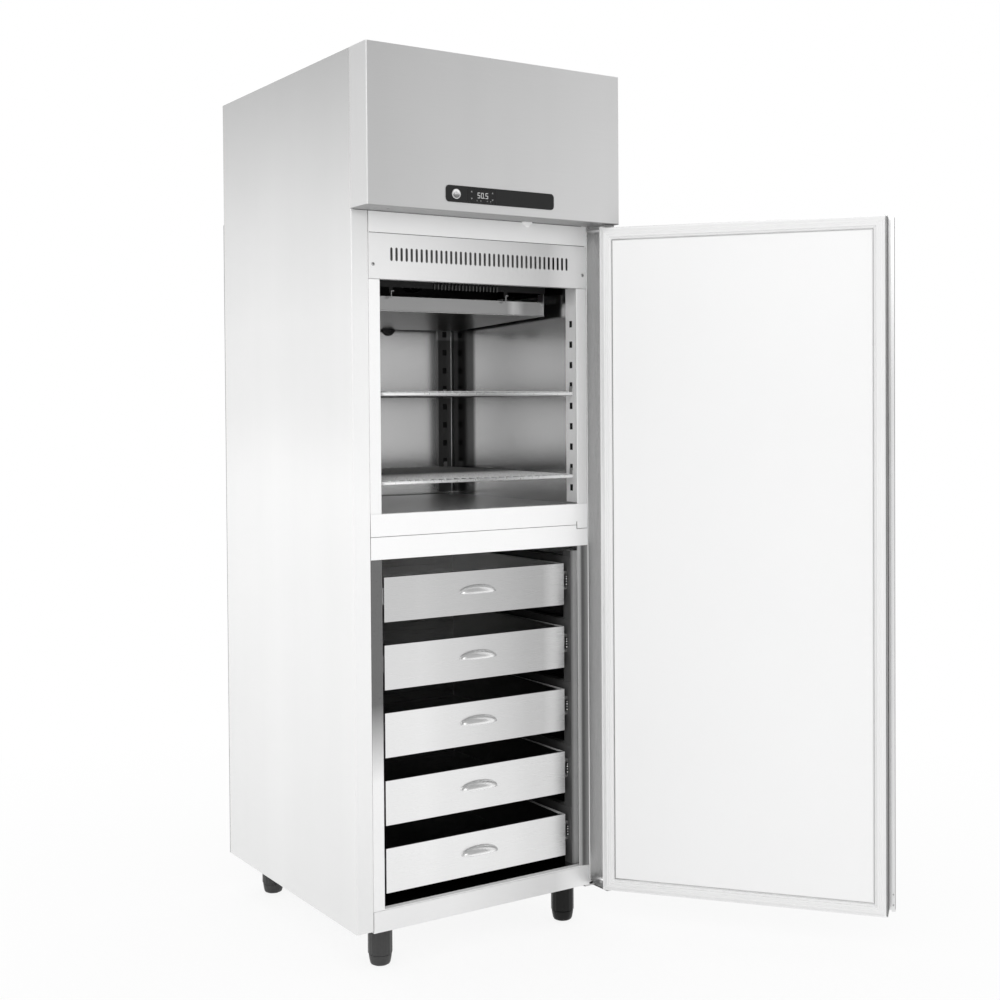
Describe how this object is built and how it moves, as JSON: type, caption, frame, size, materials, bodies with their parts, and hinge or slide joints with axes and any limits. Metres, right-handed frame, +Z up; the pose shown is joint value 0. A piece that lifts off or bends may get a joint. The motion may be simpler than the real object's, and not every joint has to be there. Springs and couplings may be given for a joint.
{
  "type": "fish refrigerator",
  "caption": "Upright stainless fish refrigerator with wire shelves above a divider, pull-out fish drawers below, a full-height hinged door standing open and a machine bay on top",
  "frame": {"origin": "on the floor, midway between the cabinet's sides and in the plane of its front frame", "axes": "+X to the right seen from the front, +Y from the front frame to the back panel, +Z up"},
  "size_m": [1.1498, 1.335, 2.108],
  "materials": {
    "stainless_shell": "satin",
    "galvanised_sheet": "satin",
    "liner_steel": "satin",
    "white_plastic": "satin",
    "white_sheet": "satin",
    "rigid_foam": "matte",
    "gasket_rubber": "satin",
    "fin_aluminium": "satin",
    "fan_plastic": "satin",
    "drain_rubber": "matte",
    "zinc_steel": "satin",
    "shelf_wire": "gloss",
    "slide_steel": "satin",
    "drawer_steel": "satin",
    "handle_steel": "satin",
    "bush_plastic": "satin",
    "foot_plastic": "gloss",
    "bezel_black": "gloss",
    "display_black": "gloss",
    "button_chrome": "gloss",
    "compressor_black": "gloss",
    "box_plastic": "matte",
    "copper_pipe": "satin"
  },
  "bodies": {
    "cabinet": {"side_panel_left": "stainless_shell", "side_panel_right": "stainless_shell", "base_panel": "stainless_shell", "fascia_panel": "stainless_shell", "back_panel": "galvanised_sheet", "machine_deck": "galvanised_sheet", "condenser_shroud": "galvanised_sheet", "inner_liner": "liner_steel", "divider_panel": "liner_steel", "drip_tray": "liner_steel", "drawer_racks": "liner_steel", "shelf_uprights": "liner_steel", "breaker_strip": "white_plastic", "door_switch": "white_plastic", "grille_panel": "white_sheet", "divider_trim": "white_sheet", "evaporator_housing": "white_sheet", "insulation": "rigid_foam", "evaporator_coil": "fin_aluminium", "condenser": "fin_aluminium", "drain_pipe": "drain_rubber", "shelf_clips": "zinc_steel", "hinge_brackets": "zinc_steel", "screws": "zinc_steel", "outer_slides": "slide_steel", "foot_sleeves": "foot_plastic", "control_bezel": "bezel_black", "display_window": "display_black", "compressor": "compressor_black", "electrical_box": "box_plastic", "refrigerant_pipes": "copper_pipe"},
    "door": {"door_skin": "stainless_shell", "door_liner": "white_plastic", "door_foam": "rigid_foam", "door_gasket": "gasket_rubber", "hinge_bushes": "bush_plastic"},
    "drawer_unit_1": {"drawer_1": "drawer_steel", "handle_1": "handle_steel"},
    "mid_slide_1": {"mid_slides_1": "slide_steel"},
    "drawer_unit_2": {"drawer_2": "drawer_steel", "handle_2": "handle_steel"},
    "mid_slide_2": {"mid_slides_2": "slide_steel"},
    "drawer_unit_3": {"drawer_3": "drawer_steel", "handle_3": "handle_steel"},
    "mid_slide_3": {"mid_slides_3": "slide_steel"},
    "drawer_unit_4": {"drawer_4": "drawer_steel", "handle_4": "handle_steel"},
    "mid_slide_4": {"mid_slides_4": "slide_steel"},
    "drawer_unit_5": {"drawer_5": "drawer_steel", "handle_5": "handle_steel"},
    "mid_slide_5": {"mid_slides_5": "slide_steel"},
    "lower_shelf": {"shelf_lower": "shelf_wire"},
    "upper_shelf": {"shelf_upper": "shelf_wire"},
    "front_left_foot": {"foot_front_left": "foot_plastic"},
    "front_right_foot": {"foot_front_right": "foot_plastic"},
    "rear_left_foot": {"foot_rear_left": "foot_plastic"},
    "rear_right_foot": {"foot_rear_right": "foot_plastic"},
    "button": {"power_button": "button_chrome"},
    "evaporator_rotor": {"evaporator_fan": "fan_plastic"},
    "cooling_rotor": {"cooling_fan": "fan_plastic"}
  },
  "joints": [
    {"name": "door_hinge", "type": "hinge", "parent": "cabinet", "child": "door", "pos_m": [0.339, -0.044, 0.9], "axis": [0, 0, 1], "range_deg": [-129, 0]},
    {"name": "drawer_pull_1", "type": "slide", "parent": "cabinet", "child": "drawer_unit_1", "axis": [0, -1, 0], "range_m": [0, 0.45]},
    {"name": "mid_slide_run_1", "type": "slide", "parent": "cabinet", "child": "mid_slide_1", "axis": [0, -1, 0], "range_m": [0, 0.225]},
    {"name": "drawer_pull_2", "type": "slide", "parent": "cabinet", "child": "drawer_unit_2", "axis": [0, -1, 0], "range_m": [0, 0.45]},
    {"name": "mid_slide_run_2", "type": "slide", "parent": "cabinet", "child": "mid_slide_2", "axis": [0, -1, 0], "range_m": [0, 0.225]},
    {"name": "drawer_pull_3", "type": "slide", "parent": "cabinet", "child": "drawer_unit_3", "axis": [0, -1, 0], "range_m": [0, 0.45]},
    {"name": "mid_slide_run_3", "type": "slide", "parent": "cabinet", "child": "mid_slide_3", "axis": [0, -1, 0], "range_m": [0, 0.225]},
    {"name": "drawer_pull_4", "type": "slide", "parent": "cabinet", "child": "drawer_unit_4", "axis": [0, -1, 0], "range_m": [0, 0.45]},
    {"name": "mid_slide_run_4", "type": "slide", "parent": "cabinet", "child": "mid_slide_4", "axis": [0, -1, 0], "range_m": [0, 0.225]},
    {"name": "drawer_pull_5", "type": "slide", "parent": "cabinet", "child": "drawer_unit_5", "axis": [0, -1, 0], "range_m": [0, 0.45]},
    {"name": "mid_slide_run_5", "type": "slide", "parent": "cabinet", "child": "mid_slide_5", "axis": [0, -1, 0], "range_m": [0, 0.225]},
    {"name": "lower_shelf_slide", "type": "slide", "parent": "cabinet", "child": "lower_shelf", "axis": [0, -1, 0], "range_m": [0, 0.3]},
    {"name": "upper_shelf_slide", "type": "slide", "parent": "cabinet", "child": "upper_shelf", "axis": [0, -1, 0], "range_m": [0, 0.3]},
    {"name": "front_left_foot_adjust", "type": "slide", "parent": "cabinet", "child": "front_left_foot", "axis": [0, 0, -1], "range_m": [0, 0.03]},
    {"name": "front_right_foot_adjust", "type": "slide", "parent": "cabinet", "child": "front_right_foot", "axis": [0, 0, -1], "range_m": [0, 0.03]},
    {"name": "rear_left_foot_adjust", "type": "slide", "parent": "cabinet", "child": "rear_left_foot", "axis": [0, 0, -1], "range_m": [0, 0.03]},
    {"name": "rear_right_foot_adjust", "type": "slide", "parent": "cabinet", "child": "rear_right_foot", "axis": [0, 0, -1], "range_m": [0, 0.03]},
    {"name": "power_button_press", "type": "slide", "parent": "cabinet", "child": "button", "axis": [0, 1, 0], "range_m": [0, 0.002], "stiffness_N_per_m": 900},
    {"name": "evaporator_fan_spin", "type": "hinge", "parent": "cabinet", "child": "evaporator_rotor", "pos_m": [0, 0.346, 1.643], "axis": [0, 1, 0], "continuous": true},
    {"name": "cooling_fan_spin", "type": "hinge", "parent": "cabinet", "child": "cooling_rotor", "pos_m": [-0.185, 0.137, 1.895], "axis": [0, 1, 0], "continuous": true}
  ],
  "couplings": [
    {"joint": "mid_slide_run_1", "follows": "drawer_pull_1", "ratio": 0.5},
    {"joint": "mid_slide_run_2", "follows": "drawer_pull_2", "ratio": 0.5},
    {"joint": "mid_slide_run_3", "follows": "drawer_pull_3", "ratio": 0.5},
    {"joint": "mid_slide_run_4", "follows": "drawer_pull_4", "ratio": 0.5},
    {"joint": "mid_slide_run_5", "follows": "drawer_pull_5", "ratio": 0.5}
  ]
}
